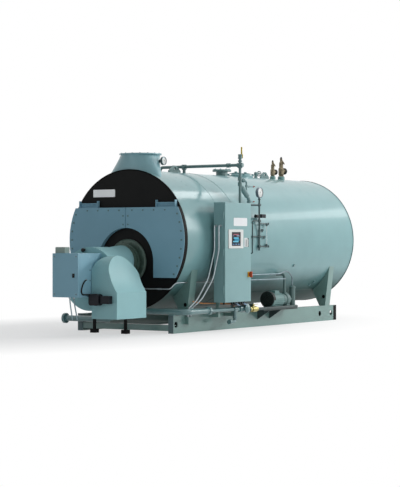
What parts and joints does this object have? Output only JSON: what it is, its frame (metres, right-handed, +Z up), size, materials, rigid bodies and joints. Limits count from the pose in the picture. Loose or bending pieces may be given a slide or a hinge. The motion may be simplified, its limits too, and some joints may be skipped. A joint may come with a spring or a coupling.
{
  "type": "industrial fire-tube boiler",
  "caption": "Horizontal fire-tube steam boiler on a channel skid, with front burner, stack hood, side control panel and water column.",
  "frame": {"origin": "on the floor, under the centre of the front plate's face", "axes": "+X to the right seen from the front (towards the control panel), +Y from the front plate to the rear, +Z up"},
  "size_m": [2.4273, 6.98, 2.855],
  "materials": {
    "shell_paint": "satin light blue-grey paint",
    "front_paint": "satin blue-grey paint",
    "skid_paint": "satin blue-grey paint",
    "burner_paint": "satin blue-grey paint",
    "panel_paint": "satin blue-grey paint",
    "dark_steel": "dull black heat paint",
    "grey_metal": "dull dark grey",
    "black_plastic": "fine grain black",
    "latch_plastic": "off-white",
    "switch_yellow": "yellow",
    "switch_red": "red",
    "lever_yellow": "yellow dipped vinyl",
    "pipe_paint": "blue-grey paint over pipe",
    "brass": "cast and machined",
    "motor_paint": "grey-green paint",
    "pump_iron": "blue-grey painted casting",
    "conduit_metal": "dull zinc",
    "gauge_case": "satin",
    "gauge_glass": "clear"
  },
  "bodies": {
    "boiler": {"air_inlet_hood": "burner_paint", "angle_valve": "brass", "brass_valve": "brass", "burner_control_box": "burner_paint", "burner_flange": "burner_paint", "burner_housing": "burner_paint", "burner_stand": "skid_paint", "burner_tube": "burner_paint", "conduit_box": "grey_metal", "cross_members": "skid_paint", "damper_actuator": "grey_metal", "door_brackets": "front_paint", "door_left": "front_paint", "door_right": "front_paint", "feed_line": "pipe_paint", "front_conduit": "conduit_metal", "front_plate": "front_paint", "gas_pipe": "pipe_paint", "gas_train": "pipe_paint", "gauge_glass": "gauge_glass", "level_probe": "grey_metal", "lifting_lugs": "shell_paint", "manway": "dark_steel", "panel_conduits": "conduit_metal", "panel_enclosure": "panel_paint", "panel_stand": "skid_paint", "pressure_gauge": "gauge_case", "pump_base": "skid_paint", "pump_casing": "pump_iron", "pump_conduits": "conduit_metal", "pump_motor": "motor_paint", "pump_strainer": "pump_iron", "rear_door": "shell_paint", "rear_head": "shell_paint", "saddles": "skid_paint", "safety_valves": "brass", "shell": "shell_paint", "siphon": "pipe_paint", "skid_rail_left": "skid_paint", "skid_rail_right": "skid_paint", "smokebox": "shell_paint", "stack_hood": "shell_paint", "stack_thermometer": "gauge_case", "steam_header": "pipe_paint", "steam_nozzle": "dark_steel", "trim_handles": "switch_red", "tube_sheet": "dark_steel", "vent_valve": "brass", "washout_plugs": "pipe_paint", "water_column": "pipe_paint"},
    "panel_door": {"panel_door": "panel_paint", "screen_bezel": "black_plastic", "panel_latch": "latch_plastic", "switch_plate": "switch_yellow"},
    "switch_handle": {"switch_handle": "switch_red"},
    "valve_lever": {"valve_lever": "lever_yellow"}
  },
  "joints": [
    {"name": "panel_door_hinge", "type": "hinge", "parent": "boiler", "child": "panel_door", "pos_m": [1.2755, 0.678, 1.199], "axis": [0, 0, -1], "range_deg": [0, 110]},
    {"name": "switch_turn", "type": "hinge", "parent": "panel_door", "child": "switch_handle", "pos_m": [1.3103, 1.378, 0.858], "axis": [1, 0, 0], "range_deg": [0, 90]},
    {"name": "vent_lever_turn", "type": "hinge", "parent": "boiler", "child": "valve_lever", "pos_m": [1.086, 1.507, 2.685], "axis": [0, 1, 0], "range_deg": [0, 90]}
  ]
}
